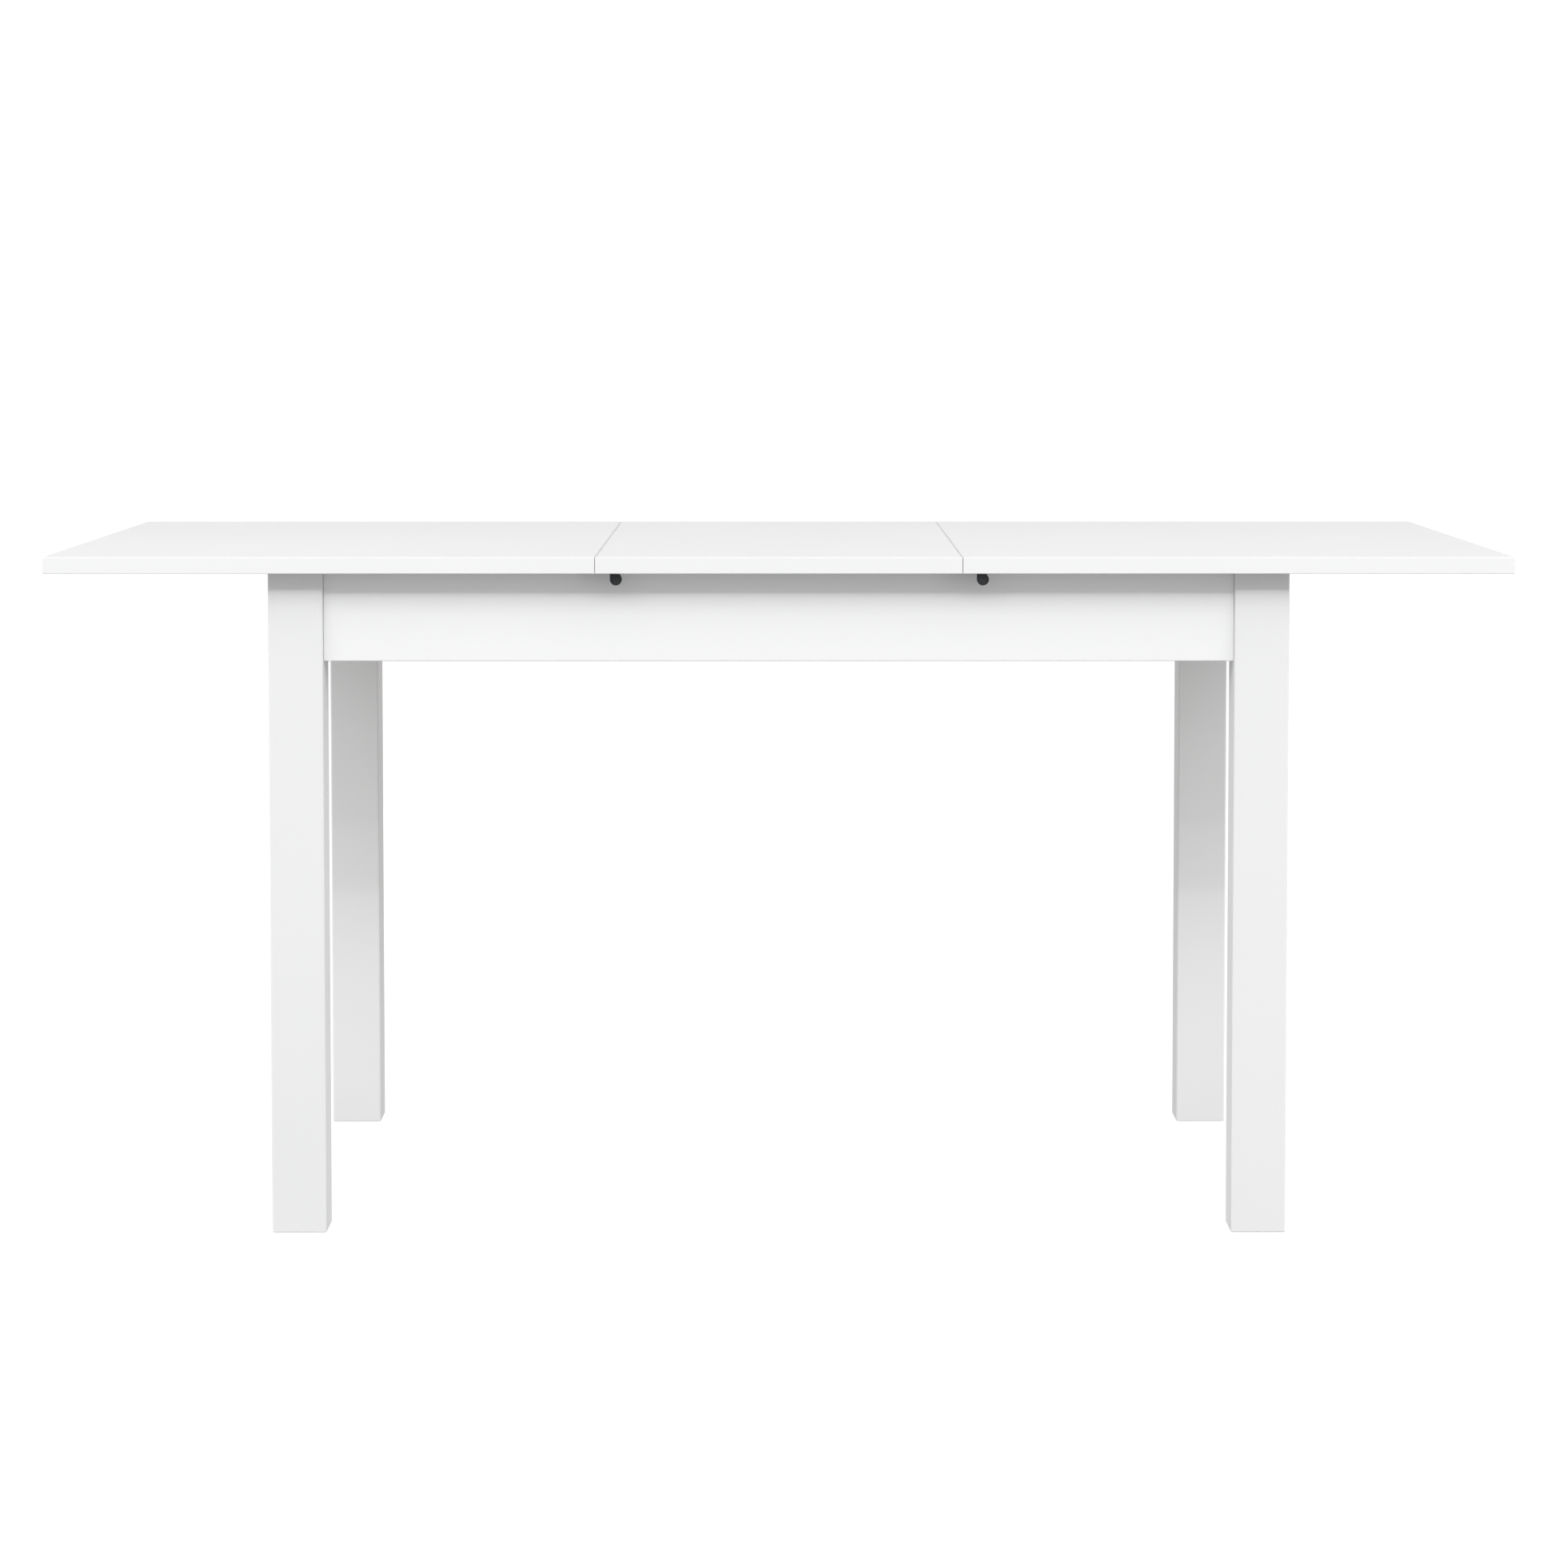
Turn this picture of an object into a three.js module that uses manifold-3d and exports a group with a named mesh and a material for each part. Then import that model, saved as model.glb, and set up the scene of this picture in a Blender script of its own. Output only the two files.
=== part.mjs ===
// Extending dining table: two half tops that slide on a four-legged frame, with one loose leaf between them.
// Millimetres, +Z up. Origin on the floor under the middle of the table, +X along the top, -Y towards the front.
import * as THREE from "three";
import { mergeVertices } from "three/addons/utils/BufferGeometryUtils.js";
import Module from "manifold-3d";

const wasm = await Module();
wasm.setup();

// Driving dimensions
const TABLE_HEIGHT = 752;
const TOP_DEPTH = 800;
const HALF_LENGTH = 600;
const LEAF_LENGTH = 400;
const TOP_THICKNESS = 18;
const LEG_SIDE = 60;
const FRAME_LENGTH = 1120;
const FRAME_DEPTH = 720;
const APRON_HEIGHT = 98;
const APRON_THICKNESS = 18;
const APRON_SETBACK = 8;
const GLIDE_HEIGHT = 2;

// Clearances
const SEAM_GAP = 0.5;
const TOP_GAP = 1;
const TOUCH_GAP = 0.3;

// Edge finish
const TOP_ARRIS = 1;
const LEG_ARRIS = 2;
const APRON_ARRIS = 1;
const ARC_STEPS = 3;
const ROUND_STEPS = 20;

// Extension rails, runners and bearers
const RAIL_CENTRE_Y = 265;
const RAIL_WIDTH = 22;
const RAIL_HEIGHT = 41;
const RUNNER_WIDTH = 20;
const RUNNER_HEIGHT = 36;
const RUNNER_LENGTH = 500;
const RUNNER_INNER_END = 20;
const RUNNER_SIDE_GAP = 0.8;
const SLIDE_TRAVEL = LEAF_LENGTH / 2;
const GROOVE_CENTRE_Z = 714;
const GROOVE_HEIGHT = 8.4;
const GROOVE_DEPTH = 6.6;
const GROOVE_END_GAP = 1;
const TONGUE_HEIGHT = 7.6;
const TONGUE_REACH = 6;
const BEARER_X = 260;
const BEARER_WIDTH = 50;
const BEARER_HEIGHT = 20;

// Leg fixings
const LEG_FLAT = 12;
const BRACKET_OFFSET = 20;
const BRACKET_THICKNESS = 2.5;
const BRACKET_HEIGHT = 44;
const BRACKET_FLANGE = 32;
const BOLT_Z = 663;
const BOLT_RADIUS = 4;
const BOLT_IN_LEG = 46;
const BOLT_LENGTH = 92;
const BRACKET_HOLE_RADIUS = 4.6;
const NUT_HUB_RADIUS = 7;
const NUT_HUB_LENGTH = 9;
const NUT_WING_THICKNESS = 2.6;
const GLIDE_RADIUS = 10.5;
const NAIL_RADIUS = 1.7;
const NAIL_LENGTH = 13;

// Seam latches, measured from the seam and from the middle line of the table
const LATCH_PIVOT_X = 22.5;
const LATCH_PIVOT_Y = 362;
const LEVER_THICKNESS = 1.2;
const LEVER_HEADROOM = 0.6;
const LEVER_HUB_RADIUS = 7;
const LEVER_ARM_SPAN = [-4.3, 1.7];
const LUG_REACH = 21.6;
const LUG_BOTTOM_Z = 725;
const HOOK_OUTER_RADIUS = 41.5;
const HOOK_HALF_WIDTH = 6.5;
const HOOK_MOUTH_ANGLE = Math.PI / 8;
const KNOB_REACH = 25;
const KNOB_DEPTH = 8;
const KNOB_RADIUS = 6.5;
const KNOB_NECK_ANGLE = Math.PI / 6;
const KNOB_BOTTOM_Z = 720.5;
const PIVOT_PIN_RADIUS = 2.5;
const PIVOT_HEAD_RADIUS = 4.5;
const PIVOT_HEAD_HEIGHT = 1;
const STRIKE_RADIUS_FROM_PIVOT = 34;
const STRIKE_PIN_RADIUS = 2.7;
const STRIKE_PIN_LENGTH = 2.1;

// Levels and faces that follow from the driving dimensions
const TOP_UNDERSIDE = TABLE_HEIGHT - TOP_THICKNESS;
const FRAME_TOP = TOP_UNDERSIDE - TOP_GAP;
const APRON_BOTTOM = FRAME_TOP - APRON_HEIGHT;
const FIXING_TOP = TOP_UNDERSIDE - TOUCH_GAP;
const RAIL_BOTTOM = FRAME_TOP - RAIL_HEIGHT;
const BEARER_TOP = RAIL_BOTTOM - TOUCH_GAP;
const SEAM_X = LEAF_LENGTH / 2;
const TOP_HALF_LENGTH = HALF_LENGTH + SEAM_X;
const LEG_INNER_X = FRAME_LENGTH / 2 - LEG_SIDE;
const LEG_INNER_Y = FRAME_DEPTH / 2 - LEG_SIDE;
const APRON_OUTER_X = FRAME_LENGTH / 2 - APRON_SETBACK;
const APRON_OUTER_Y = FRAME_DEPTH / 2 - APRON_SETBACK;
const APRON_INNER_X = APRON_OUTER_X - APRON_THICKNESS;
const APRON_INNER_Y = APRON_OUTER_Y - APRON_THICKNESS;
const LEVER_TOP = TOP_UNDERSIDE - LEVER_HEADROOM;
const LEVER_BOTTOM = LEVER_TOP - LEVER_THICKNESS;

const WHITE = new THREE.MeshStandardMaterial({ color: 0xf3f3f1, roughness: 0.38, metalness: 0 });
const BEECH = new THREE.MeshStandardMaterial({ color: 0xd8b98c, roughness: 0.55, metalness: 0 });
const DARK_PLASTIC = new THREE.MeshStandardMaterial({ color: 0x34373b, roughness: 0.45, metalness: 0 });
const STEEL = new THREE.MeshStandardMaterial({ color: 0xb9bcc0, roughness: 0.35, metalness: 0.9 });
const GREY_PLASTIC = new THREE.MeshStandardMaterial({ color: 0x9a9a98, roughness: 0.6, metalness: 0 });

const table = new THREE.Group();

// Adds one named piece to a parent, with its own copy of the material.
function addPiece(parent, name, geometry, material) {
  const piece = new THREE.Mesh(geometry, material.clone());
  piece.name = name;
  parent.add(piece);
}

// Turns a closed geometry into a manifold-3d solid.
function solidOf(geometry) {
  const bare = geometry.clone();
  bare.deleteAttribute("normal");
  bare.deleteAttribute("uv");
  const merged = mergeVertices(bare, 1e-4);
  const mesh = new wasm.Mesh({
    numProp: 3,
    vertProperties: merged.attributes.position.array,
    triVerts: new Uint32Array(merged.index.array),
  });
  return new wasm.Manifold(mesh);
}

// Turns a manifold-3d solid back into a three.js geometry.
function geometryOf(solid) {
  const mesh = solid.getMesh();
  const geometry = new THREE.BufferGeometry();
  geometry.setAttribute("position", new THREE.BufferAttribute(mesh.vertProperties, 3));
  geometry.setIndex(new THREE.BufferAttribute(mesh.triVerts, 1));
  geometry.computeVertexNormals();
  return geometry;
}

// Cuts every tool out of a blank.
function cut(blank, tools) {
  let solid = solidOf(blank);
  for (const tool of tools) {
    solid = solid.subtract(solidOf(tool));
  }
  return geometryOf(solid);
}

// Joins geometries into one body.
function join(pieces) {
  let solid = solidOf(pieces[0]);
  for (const piece of pieces.slice(1)) {
    solid = solid.add(solidOf(piece));
  }
  return geometryOf(solid);
}

// A closed outline through a list of corners.
function polygon(corners) {
  return new THREE.Shape(corners.map(([a, b]) => new THREE.Vector2(a, b)));
}

// A rectangle with rounded corners between two values on each of its axes.
function roundedRectangle([a0, a1], [b0, b1], radius) {
  const quarter = Math.PI / 2;
  const shape = new THREE.Shape();
  shape.moveTo(a0 + radius, b0);
  shape.lineTo(a1 - radius, b0);
  shape.absarc(a1 - radius, b0 + radius, radius, -quarter, 0);
  shape.lineTo(a1, b1 - radius);
  shape.absarc(a1 - radius, b1 - radius, radius, 0, quarter);
  shape.lineTo(a0 + radius, b1);
  shape.absarc(a0 + radius, b1 - radius, radius, quarter, 2 * quarter);
  shape.lineTo(a0, b0 + radius);
  shape.absarc(a0 + radius, b0 + radius, radius, 2 * quarter, 3 * quarter);
  return shape;
}

// Extrudes an outline along one axis. The outline lies in (x, y) for "z", (y, z) for "x" and (z, x) for "y".
function extrudeAlong(axis, shape, [from, to], curveSegments = ARC_STEPS) {
  const geometry = new THREE.ExtrudeGeometry(shape, { depth: to - from, bevelEnabled: false, curveSegments });
  const x = new THREE.Vector3(1, 0, 0);
  const y = new THREE.Vector3(0, 1, 0);
  const z = new THREE.Vector3(0, 0, 1);
  geometry.translate(0, 0, from);
  if (axis === "x") {
    geometry.applyMatrix4(new THREE.Matrix4().makeBasis(y, z, x));
  }
  if (axis === "y") {
    geometry.applyMatrix4(new THREE.Matrix4().makeBasis(z, x, y));
  }
  return geometry;
}

// A square-edged block between two values on each axis.
function block([x0, x1], [y0, y1], [z0, z1]) {
  const geometry = new THREE.BoxGeometry(x1 - x0, y1 - y0, z1 - z0);
  geometry.translate((x0 + x1) / 2, (y0 + y1) / 2, (z0 + z1) / 2);
  return geometry;
}

// A cylinder along Z between two levels.
function post(x, y, radius, [z0, z1]) {
  const geometry = new THREE.CylinderGeometry(radius, radius, z1 - z0, ROUND_STEPS);
  geometry.rotateX(Math.PI / 2);
  geometry.translate(x, y, (z0 + z1) / 2);
  return geometry;
}

// A cylinder along X between two values, at a given height.
function rod(radius, [x0, x1], z) {
  const geometry = new THREE.CylinderGeometry(radius, radius, x1 - x0, ROUND_STEPS);
  geometry.rotateZ(Math.PI / 2);
  geometry.translate((x0 + x1) / 2, 0, z);
  return geometry;
}

// Orders two numbers, so that a range can be mirrored.
function ordered(a, b) {
  return a < b ? [a, b] : [b, a];
}

// A top panel with its arrises rounded on every edge.
function panel([x0, x1]) {
  const inset = TOP_ARRIS;
  const outline = roundedRectangle(
    [x0 + inset, x1 - inset],
    [-TOP_DEPTH / 2 + inset, TOP_DEPTH / 2 - inset],
    TOP_ARRIS,
  );
  const geometry = new THREE.ExtrudeGeometry(outline, {
    depth: TOP_THICKNESS - 2 * inset,
    bevelThickness: inset,
    bevelSize: inset,
    bevelSegments: 2,
    curveSegments: ARC_STEPS,
  });
  geometry.translate(0, 0, TOP_UNDERSIDE + inset);
  return geometry;
}

function addTopPanels() {
  const gap = SEAM_GAP / 2;
  addPiece(table, "left_top", panel([-TOP_HALF_LENGTH, -SEAM_X - gap]), WHITE);
  addPiece(table, "centre_leaf", panel([-SEAM_X + gap, SEAM_X - gap]), WHITE);
  addPiece(table, "right_top", panel([SEAM_X + gap, TOP_HALF_LENGTH]), WHITE);
}

// A leg drawn for a corner frame whose +X points from the leg's inner corner to the middle of the table.
function legGeometry() {
  const side = LEG_SIDE;
  const shape = roundedRectangle([-side, 0], [-side, 0], LEG_ARRIS);
  const blank = extrudeAlong("z", shape, [GLIDE_HEIGHT, FRAME_TOP]);
  const middle = -side / 2;
  const reach = LEG_FLAT * 2;
  const corner = polygon([
    [-LEG_FLAT, reach],
    [-LEG_FLAT, 0],
    [0, -LEG_FLAT],
    [reach, -LEG_FLAT],
    [reach, reach],
  ]);
  const flat = extrudeAlong("z", corner, [APRON_BOTTOM, FRAME_TOP + 1]);
  const boltHole = rod(BOLT_RADIUS + TOUCH_GAP, [-BOLT_IN_LEG - 1, BOLT_IN_LEG], BOLT_Z);
  boltHole.rotateZ(Math.PI / 4);
  const nailTop = GLIDE_HEIGHT + NAIL_LENGTH + 1;
  const nailHole = post(middle, middle, NAIL_RADIUS + TOUCH_GAP, [GLIDE_HEIGHT - 1, nailTop]);
  return cut(blank, [flat, boltHole, nailHole]);
}

// A bent steel plate across the corner, in the frame of the diagonal: its flanges lie on the aprons.
function bracketGeometry() {
  const apronOffset = (LEG_INNER_Y - APRON_INNER_Y + TOUCH_GAP) * -Math.SQRT2;
  const bend = BRACKET_OFFSET + apronOffset;
  const flange = BRACKET_FLANGE / Math.SQRT2;
  const skin = BRACKET_THICKNESS / Math.SQRT2;
  const innerBend = bend - BRACKET_THICKNESS * (Math.SQRT2 - 1);
  const near = BRACKET_OFFSET;
  const half = [
    [near + flange + skin, bend + flange - skin],
    [near + flange, bend + flange],
    [near, bend],
  ];
  const inner = [near + BRACKET_THICKNESS, innerBend];
  const mirrored = half.map(([u, v]) => [u, -v]).reverse();
  const outline = polygon([inner, ...half, ...mirrored, [inner[0], -inner[1]]]);
  const levels = [BOLT_Z - BRACKET_HEIGHT / 2, BOLT_Z + BRACKET_HEIGHT / 2];
  const plate = extrudeAlong("z", outline, levels);
  const hole = rod(BRACKET_HOLE_RADIUS, [0, 2 * BRACKET_OFFSET], BOLT_Z);
  return cut(plate, [hole]);
}

// A wing nut on the diagonal, run up against the bracket.
function wingNutGeometry() {
  const start = BRACKET_OFFSET + BRACKET_THICKNESS + TOUCH_GAP;
  const hub = new THREE.CylinderGeometry(NUT_HUB_RADIUS * 0.8, NUT_HUB_RADIUS, NUT_HUB_LENGTH, ROUND_STEPS);
  hub.rotateZ(-Math.PI / 2);
  hub.translate(start + NUT_HUB_LENGTH / 2, 0, BOLT_Z);
  const levels = [BOLT_Z - NUT_WING_THICKNESS / 2, BOLT_Z + NUT_WING_THICKNESS / 2];
  const wings = [1, -1].map((side) => {
    const shape = new THREE.Shape();
    shape.moveTo(start + 1, 3 * side);
    shape.lineTo(start + 2, 8 * side);
    shape.quadraticCurveTo(start + 8, 9 * side, start + 10, 16 * side);
    shape.quadraticCurveTo(start + 14, 19 * side, start + 15, 14 * side);
    shape.quadraticCurveTo(start + 14, 7 * side, start + 8, 3 * side);
    return extrudeAlong("z", shape, levels, 5);
  });
  const bore = rod(BOLT_RADIUS + TOUCH_GAP, [start - 1, start + NUT_HUB_LENGTH + 1], BOLT_Z);
  return cut(join([hub, ...wings]), [bore]);
}

// A nailed glide under the middle of a leg.
function glideGeometry() {
  const top = GLIDE_HEIGHT - TOUCH_GAP;
  const tip = GLIDE_HEIGHT + NAIL_LENGTH;
  const profile = [
    [0, 0],
    [GLIDE_RADIUS - 1.5, 0],
    [GLIDE_RADIUS, 0.8],
    [GLIDE_RADIUS, top],
    [NAIL_RADIUS, top],
    [NAIL_RADIUS, tip - 2],
    [0, tip],
  ];
  const geometry = new THREE.LatheGeometry(profile.map(([r, z]) => new THREE.Vector2(r, z)), ROUND_STEPS);
  geometry.rotateX(Math.PI / 2);
  return geometry;
}

// One leg with its glide, bracket, hanger bolt and wing nut.
function addCorner(name, xSide, ySide) {
  const inwards = Math.atan2(-ySide, -xSide);
  const corner = new THREE.Group();
  corner.position.set(xSide * LEG_INNER_X, ySide * LEG_INNER_Y, 0);
  table.add(corner);
  const square = new THREE.Group();
  square.rotation.z = Math.round((inwards - Math.PI / 4) / (Math.PI / 2)) * (Math.PI / 2);
  corner.add(square);
  addPiece(square, `${name}_leg`, legGeometry(), WHITE);
  const diagonal = new THREE.Group();
  diagonal.rotation.z = inwards;
  corner.add(diagonal);
  addPiece(diagonal, `${name}_corner_bracket`, bracketGeometry(), STEEL);
  const bolt = rod(BOLT_RADIUS, [-BOLT_IN_LEG, BOLT_LENGTH - BOLT_IN_LEG], BOLT_Z);
  addPiece(diagonal, `${name}_hanger_bolt`, bolt, STEEL);
  addPiece(diagonal, `${name}_wing_nut`, wingNutGeometry(), STEEL);
  const foot = new THREE.Group();
  foot.position.set((xSide * LEG_SIDE) / 2, (ySide * LEG_SIDE) / 2, 0);
  corner.add(foot);
  addPiece(foot, `${name}_glide`, glideGeometry(), GREY_PLASTIC);
}

// Long aprons run along X between the legs, end aprons along Y.
function addAprons() {
  const levels = [APRON_BOTTOM, FRAME_TOP];
  const spanX = LEG_INNER_X - TOUCH_GAP;
  const spanY = LEG_INNER_Y - TOUCH_GAP;
  for (const [name, side] of [["front", -1], ["rear", 1]]) {
    const faces = ordered(side * APRON_INNER_Y, side * APRON_OUTER_Y);
    const shape = roundedRectangle(faces, levels, APRON_ARRIS);
    addPiece(table, `${name}_apron`, extrudeAlong("x", shape, [-spanX, spanX]), WHITE);
  }
  for (const [name, side] of [["left", -1], ["right", 1]]) {
    const faces = ordered(side * APRON_INNER_X, side * APRON_OUTER_X);
    const shape = roundedRectangle(levels, faces, APRON_ARRIS);
    addPiece(table, `${name}_apron`, extrudeAlong("y", shape, [-spanY, spanY]), WHITE);
  }
}

// A fixed rail between the end aprons, with a stopped groove in each side face for the runners' tongues.
function addRails() {
  const reach = APRON_INNER_X - TOUCH_GAP;
  const half = RAIL_WIDTH / 2;
  const grooveLevels = [GROOVE_CENTRE_Z - GROOVE_HEIGHT / 2, GROOVE_CENTRE_Z + GROOVE_HEIGHT / 2];
  const outerEnd = RUNNER_LENGTH + RUNNER_INNER_END + GROOVE_END_GAP;
  const innerEnd = SLIDE_TRAVEL - RUNNER_INNER_END + GROOVE_END_GAP;
  for (const [name, side] of [["front", -1], ["rear", 1]]) {
    const middle = side * RAIL_CENTRE_Y;
    const blank = block([-reach, reach], [middle - half, middle + half], [RAIL_BOTTOM, FRAME_TOP]);
    const outerFace = middle + side * half;
    const innerFace = middle - side * half;
    const outerGroove = block(
      [-outerEnd, innerEnd],
      ordered(outerFace + side, outerFace - side * GROOVE_DEPTH),
      grooveLevels,
    );
    const innerGroove = block(
      [-innerEnd, outerEnd],
      ordered(innerFace - side, innerFace + side * GROOVE_DEPTH),
      grooveLevels,
    );
    addPiece(table, `${name}_rail`, cut(blank, [outerGroove, innerGroove]), BEECH);
  }
}

// A runner under a half top. The left half's runners pass outside the rails and the right half's inside.
function addRunner(name, xSide, ySide) {
  const lane = xSide < 0 ? ySide : -ySide;
  const railFace = ySide * RAIL_CENTRE_Y + (lane * RAIL_WIDTH) / 2;
  const near = railFace + lane * RUNNER_SIDE_GAP;
  const far = near + lane * RUNNER_WIDTH;
  const tip = railFace - lane * TONGUE_REACH;
  const bottom = FIXING_TOP - RUNNER_HEIGHT;
  const tongueBottom = GROOVE_CENTRE_Z - TONGUE_HEIGHT / 2;
  const tongueTop = GROOVE_CENTRE_Z + TONGUE_HEIGHT / 2;
  const shape = polygon([
    [far, bottom],
    [near, bottom],
    [near, tongueBottom],
    [tip, tongueBottom],
    [tip, tongueTop],
    [near, tongueTop],
    [near, FIXING_TOP],
    [far, FIXING_TOP],
  ]);
  const ends = ordered(xSide * RUNNER_INNER_END, xSide * (RUNNER_INNER_END + RUNNER_LENGTH));
  addPiece(table, `${name}_runner`, extrudeAlong("x", shape, ends), BEECH);
}

// Cross bearers tie the long aprons together under the rails and carry the leaf when it is stored.
function addBearers() {
  const reach = APRON_INNER_Y - TOUCH_GAP;
  for (const [name, side] of [["left", -1], ["right", 1]]) {
    const middle = side * BEARER_X;
    const width = [middle - BEARER_WIDTH / 2, middle + BEARER_WIDTH / 2];
    const shape = roundedRectangle([BEARER_TOP - BEARER_HEIGHT, BEARER_TOP], width, APRON_ARRIS);
    addPiece(table, `${name}_cross_bearer`, extrudeAlong("y", shape, [-reach, reach]), BEECH);
  }
}

// The stud under the left-hand panel of a seam that the hook takes hold of.
function latchStrikeGeometry() {
  return post(-STRIKE_RADIUS_FROM_PIVOT, 0, STRIKE_PIN_RADIUS, [FIXING_TOP - STRIKE_PIN_LENGTH, FIXING_TOP]);
}

// The slot of the hook: an arc about the pivot, closed at the strike pin and open towards the apron.
function hookSlot(ySide) {
  const clear = STRIKE_PIN_RADIUS + TOUCH_GAP;
  const inner = STRIKE_RADIUS_FROM_PIVOT - clear;
  const outer = STRIKE_RADIUS_FROM_PIVOT + clear;
  const levels = [LEVER_BOTTOM - 1, LEVER_TOP + 1];
  const end = Math.PI + ySide * HOOK_MOUTH_ANGLE;
  const arc = new THREE.Shape();
  arc.absarc(0, 0, outer, Math.PI, end, ySide < 0);
  arc.absarc(0, 0, inner, end, Math.PI, ySide > 0);
  const seat = post(-STRIKE_RADIUS_FROM_PIVOT, 0, clear, levels);
  return join([extrudeAlong("z", arc, levels, 8), seat]);
}

// The knob on the front of the lever: a round end hanging under a neck that is straight on its left side and
// leans in on its right side. It is open behind and above, where the lever's arm and lug go in.
function latchKnobGeometry(ySide) {
  const middle = KNOB_BOTTOM_Z + KNOB_RADIUS;
  const top = FIXING_TOP - TOUCH_GAP;
  const neckStart = middle + KNOB_RADIUS * Math.sin(KNOB_NECK_ANGLE);
  const neckTop = KNOB_RADIUS * Math.cos(KNOB_NECK_ANGLE) - (top - neckStart) * Math.tan(KNOB_NECK_ANGLE);
  const shape = new THREE.Shape();
  shape.moveTo(top, -KNOB_RADIUS);
  shape.lineTo(middle, -KNOB_RADIUS);
  shape.absarc(middle, 0, KNOB_RADIUS, -Math.PI / 2, Math.PI / 2 - KNOB_NECK_ANGLE, true);
  shape.lineTo(top, neckTop);
  const back = KNOB_REACH - KNOB_DEPTH;
  const blank = extrudeAlong("y", shape, ordered(ySide * back, ySide * KNOB_REACH), 10);
  const span = [LEVER_ARM_SPAN[0] - TOUCH_GAP, LEVER_ARM_SPAN[1] + TOUCH_GAP];
  const pocketFront = LUG_REACH + TOUCH_GAP;
  const pocketBack = LUG_REACH - LEVER_THICKNESS - TOUCH_GAP;
  const notch = block(span, ordered(ySide * (back - 1), ySide * pocketFront), [LEVER_BOTTOM - TOUCH_GAP, top + 1]);
  const pocket = block(span, ordered(ySide * pocketBack, ySide * pocketFront), [LUG_BOTTOM_Z - TOUCH_GAP, top + 1]);
  return cut(blank, [notch, pocket]);
}

// The sheet steel lever, drawn round its pivot: a hook towards the seam, and an arm to the edge whose end is
// bent down into the knob.
function latchLeverGeometry(ySide) {
  const levels = [LEVER_BOTTOM, LEVER_TOP];
  const hub = post(0, 0, LEVER_HUB_RADIUS, levels);
  const hookShape = roundedRectangle([-HOOK_OUTER_RADIUS, 0], [-HOOK_HALF_WIDTH, HOOK_HALF_WIDTH], 3);
  const hook = extrudeAlong("z", hookShape, levels, 4);
  const arm = block(LEVER_ARM_SPAN, ordered(0, ySide * LUG_REACH), levels);
  const lugDepth = ordered(ySide * (LUG_REACH - LEVER_THICKNESS), ySide * LUG_REACH);
  const lug = block(LEVER_ARM_SPAN, lugDepth, [LUG_BOTTOM_Z, LEVER_TOP]);
  const blank = join([hub, hook, arm, lug]);
  const bore = post(0, 0, PIVOT_PIN_RADIUS + TOUCH_GAP, [LEVER_BOTTOM - 1, LEVER_TOP + 1]);
  return cut(blank, [hookSlot(ySide), bore]);
}

// The pin the lever turns on, with its head under the lever.
function pivotPinGeometry() {
  const headTop = LEVER_BOTTOM - TOUCH_GAP;
  const shank = post(0, 0, PIVOT_PIN_RADIUS, [headTop - PIVOT_HEAD_HEIGHT / 2, FIXING_TOP]);
  const head = post(0, 0, PIVOT_HEAD_RADIUS, [headTop - PIVOT_HEAD_HEIGHT, headTop]);
  return join([shank, head]);
}

// One seam latch at the front (-1) or rear (+1) edge of the top.
function addLatch(name, seamX, ySide) {
  const pivot = new THREE.Group();
  pivot.position.set(seamX + LATCH_PIVOT_X, ySide * LATCH_PIVOT_Y, 0);
  table.add(pivot);
  addPiece(pivot, `${name}_latch_lever`, latchLeverGeometry(ySide), STEEL);
  addPiece(pivot, `${name}_latch_knob`, latchKnobGeometry(ySide), DARK_PLASTIC);
  addPiece(pivot, `${name}_latch_pin`, pivotPinGeometry(), STEEL);
  addPiece(pivot, `${name}_latch_strike`, latchStrikeGeometry(), STEEL);
}

addTopPanels();
addAprons();
addRails();
addBearers();
for (const [row, ySide] of [["front", -1], ["rear", 1]]) {
  for (const [column, xSide] of [["left", -1], ["right", 1]]) {
    addCorner(`${row}_${column}`, xSide, ySide);
    addRunner(`${row}_${column}`, xSide, ySide);
    addLatch(`${row}_${column}`, xSide * SEAM_X, ySide);
  }
}

export default table;
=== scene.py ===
"""Looks of the extending dining table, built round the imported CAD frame.

Everything is in metres, in the CAD's own frame: +Z is up and -Y is towards the front.
"""

import math

import bmesh
import bpy
from mathutils import Matrix, Vector


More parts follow.
